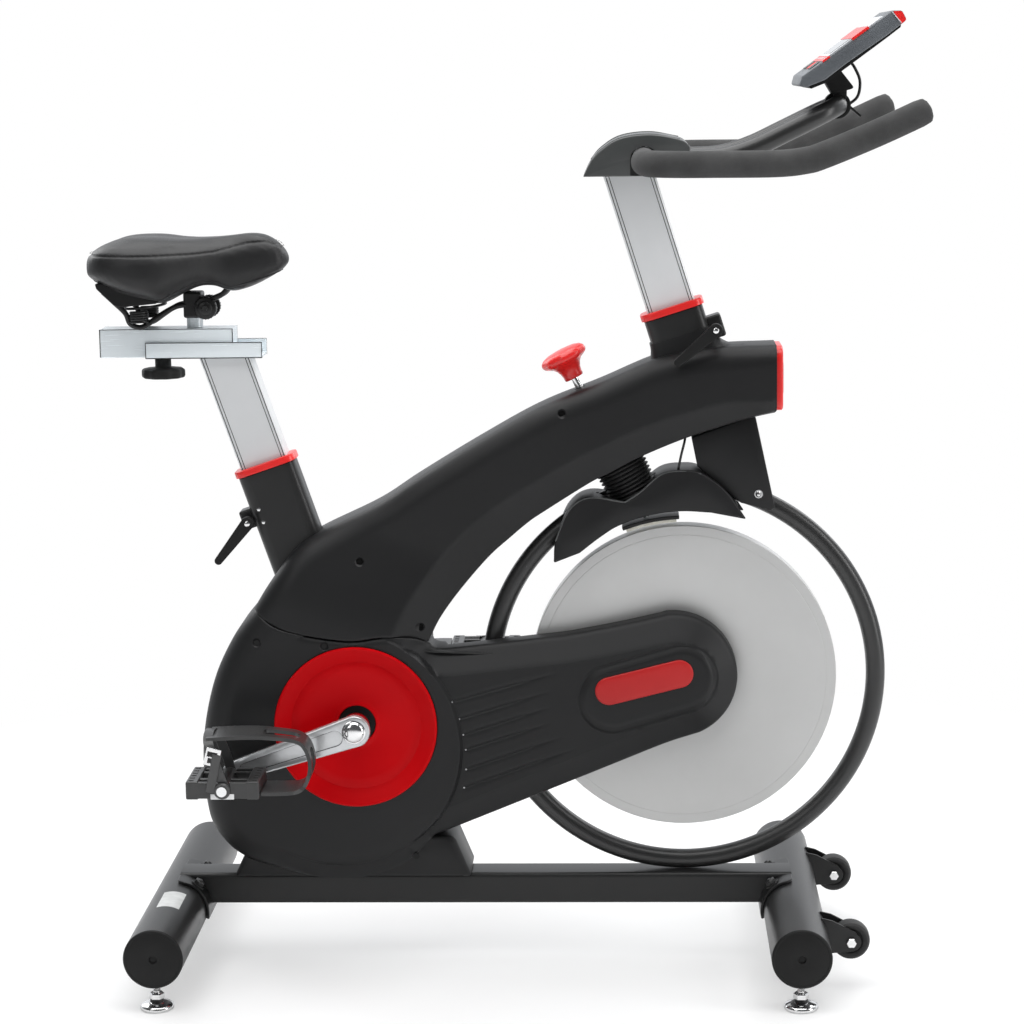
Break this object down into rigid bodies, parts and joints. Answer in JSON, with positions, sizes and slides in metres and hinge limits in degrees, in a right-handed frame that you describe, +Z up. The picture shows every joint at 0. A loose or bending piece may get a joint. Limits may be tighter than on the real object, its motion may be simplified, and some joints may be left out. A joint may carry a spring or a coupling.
{
  "type": "exercise bike",
  "caption": "Indoor cycling exercise bike with a belt-driven front flywheel inside a guard hoop, sliding saddle and handlebar posts, friction brake knob and levelling feet.",
  "frame": {"origin": "on the floor, under the middle of the bounding box", "axes": "+X towards the front (handlebar), +Z up, the drive side at -Y"},
  "size_m": [1.0669, 0.504, 1.235],
  "materials": {
    "black_plastic": "fine-grained moulded plastic, matte",
    "black_steel": "satin black powder coat",
    "red_plastic": "glossy moulded red",
    "red_disc": "high gloss red",
    "post_aluminium": "satin anodised extrusion",
    "bright_carriage": "bright satin plate",
    "flywheel_steel": "lathe turned and clear coated",
    "bright_steel": "polished",
    "pulley_alloy": "as cast, dark grey",
    "polished_crank": "polished",
    "pedal_plastic": "glass filled nylon",
    "lever_plastic": "smooth black plastic",
    "rubber": "matte",
    "felt": "pressed wool felt",
    "seat_steel": "black plated",
    "leather": "grained black cover, double stitched",
    "foam": "closed cell foam, very matte",
    "console_plastic": "slate grey housing",
    "wheel_rubber": "hard black wheel",
    "foot_chrome": "plated"
  },
  "bodies": {
    "frame": {"base_tube": "black_steel", "rear_stabilizer": "black_steel", "front_stabilizer": "black_steel", "end_cap_rear_right": "black_plastic", "end_cap_rear_left": "black_plastic", "end_cap_front_right": "black_plastic", "end_cap_front_left": "black_plastic", "frame_hoop": "black_steel", "main_beam": "black_steel", "front_strut": "black_plastic", "seat_tube": "black_steel", "body_shell_right": "black_plastic", "body_shell_left": "black_plastic", "drive_cover_right": "black_plastic", "drive_cover_left": "black_plastic", "crank_disc_right": "red_disc", "crank_disc_left": "red_disc", "front_end_cap": "red_plastic", "seat_collar": "red_plastic", "handlebar_collar": "red_plastic", "base_shroud": "black_plastic", "belt": "rubber", "brake_cover": "black_plastic", "brake_bellows": "rubber"},
    "flywheel": {"flywheel": "flywheel_steel", "flywheel_axle": "bright_steel", "flywheel_pulley": "pulley_alloy"},
    "crank": {"crank_axle": "bright_steel", "crank_pulley": "pulley_alloy", "crank_arm_right": "polished_crank", "crank_arm_left": "polished_crank"},
    "pedal_right": {"pedal_right": "pedal_plastic", "toe_cage_right": "pedal_plastic"},
    "pedal_left": {"pedal_left": "pedal_plastic", "toe_cage_left": "pedal_plastic"},
    "brake_rod": {"brake_rod": "bright_steel", "brake_pad": "felt"},
    "brake_knob": {"brake_knob": "red_plastic"},
    "seat_post": {"seat_post": "post_aluminium"},
    "seat_carriage": {"seat_carriage": "bright_carriage", "saddle_clamp": "seat_steel", "saddle_rails": "seat_steel", "saddle": "leather"},
    "seat_knob": {"seat_knob": "lever_plastic"},
    "seat_lever": {"seat_lever": "lever_plastic"},
    "handlebar": {"handlebar_post": "post_aluminium", "handlebar": "black_steel", "grip_right": "foam", "grip_left": "foam", "handlebar_cover": "black_plastic", "console": "console_plastic", "console_wire": "rubber"},
    "console_button": {"console_button": "red_plastic"},
    "handlebar_lever": {"handlebar_lever": "lever_plastic"},
    "transport_wheel_right": {"transport_wheel_right": "wheel_rubber"},
    "transport_wheel_left": {"transport_wheel_left": "wheel_rubber"},
    "levelling_foot_rear_right": {"levelling_foot_rear_right": "foot_chrome"},
    "levelling_foot_rear_left": {"levelling_foot_rear_left": "foot_chrome"},
    "levelling_foot_front_right": {"levelling_foot_front_right": "foot_chrome"},
    "levelling_foot_front_left": {"levelling_foot_front_left": "foot_chrome"}
  },
  "joints": [
    {"name": "flywheel_spin", "type": "hinge", "parent": "frame", "child": "flywheel", "pos_m": [0.242, 0, 0.38], "axis": [0, 1, 0], "continuous": true},
    {"name": "crank_spin", "type": "hinge", "parent": "frame", "child": "crank", "pos_m": [-0.185, 0, 0.327], "axis": [0, 1, 0], "continuous": true},
    {"name": "pedal_right_spin", "type": "hinge", "parent": "crank", "child": "pedal_right", "pos_m": [-0.34432, -0.1545, 0.27369], "axis": [0, 1, 0], "continuous": true},
    {"name": "pedal_left_spin", "type": "hinge", "parent": "crank", "child": "pedal_left", "pos_m": [-0.02568, 0.1545, 0.38031], "axis": [0, 1, 0], "continuous": true},
    {"name": "brake_press", "type": "slide", "parent": "frame", "child": "brake_rod", "axis": [0.454, 0, -0.891], "range_m": [0, 0.003], "stiffness_N_per_m": 6000, "springref_m": -0.003},
    {"name": "brake_knob_turn", "type": "hinge", "parent": "brake_rod", "child": "brake_knob", "pos_m": [0.088, 0, 0.802], "axis": [-0.454, 0, 0.891], "continuous": true},
    {"name": "seat_height", "type": "slide", "parent": "frame", "child": "seat_post", "axis": [-0.3206, 0, 0.9472], "range_m": [-0.1, 0.08]},
    {"name": "seat_fore_aft", "type": "slide", "parent": "seat_post", "child": "seat_carriage", "axis": [1, 0, 0], "range_m": [-0.045, 0.045]},
    {"name": "seat_knob_turn", "type": "hinge", "parent": "seat_post", "child": "seat_knob", "pos_m": [-0.4335, 0, 0.79], "axis": [0, 0, 1], "continuous": true},
    {"name": "seat_lever_swing", "type": "hinge", "parent": "frame", "child": "seat_lever", "pos_m": [-0.32469, -0.0315, 0.58961], "axis": [0, 1, 0], "range_deg": [0, 95]},
    {"name": "handlebar_height", "type": "slide", "parent": "frame", "child": "handlebar", "axis": [-0.299, 0, 0.9542], "range_m": [-0.05, 0.05]},
    {"name": "console_button_press", "type": "slide", "parent": "handlebar", "child": "console_button", "axis": [0.5799, 0, -0.8147], "range_m": [0, 0.0015], "stiffness_N_per_m": 300, "springref_m": -0.001},
    {"name": "handlebar_lever_swing", "type": "hinge", "parent": "frame", "child": "handlebar_lever", "pos_m": [0.28409, -0.059, 0.83866], "axis": [0, 1, 0], "range_deg": [0, 95]},
    {"name": "transport_wheel_right_spin", "type": "hinge", "parent": "frame", "child": "transport_wheel_right", "pos_m": [0.452, -0.147, 0.064], "axis": [0, 1, 0], "continuous": true},
    {"name": "transport_wheel_left_spin", "type": "hinge", "parent": "frame", "child": "transport_wheel_left", "pos_m": [0.452, 0.147, 0.064], "axis": [0, 1, 0], "continuous": true},
    {"name": "levelling_foot_rear_right_turn", "type": "hinge", "parent": "frame", "child": "levelling_foot_rear_right", "pos_m": [-0.43, -0.23, 0.03], "axis": [0, 0, 1], "continuous": true},
    {"name": "levelling_foot_rear_left_turn", "type": "hinge", "parent": "frame", "child": "levelling_foot_rear_left", "pos_m": [-0.43, 0.23, 0.03], "axis": [0, 0, 1], "continuous": true},
    {"name": "levelling_foot_front_right_turn", "type": "hinge", "parent": "frame", "child": "levelling_foot_front_right", "pos_m": [0.384, -0.23, 0.03], "axis": [0, 0, 1], "continuous": true},
    {"name": "levelling_foot_front_left_turn", "type": "hinge", "parent": "frame", "child": "levelling_foot_front_left", "pos_m": [0.384, 0.23, 0.03], "axis": [0, 0, 1], "continuous": true}
  ],
  "couplings": [
    {"joint": "crank_spin", "follows": "flywheel_spin", "ratio": 0.25}
  ]
}
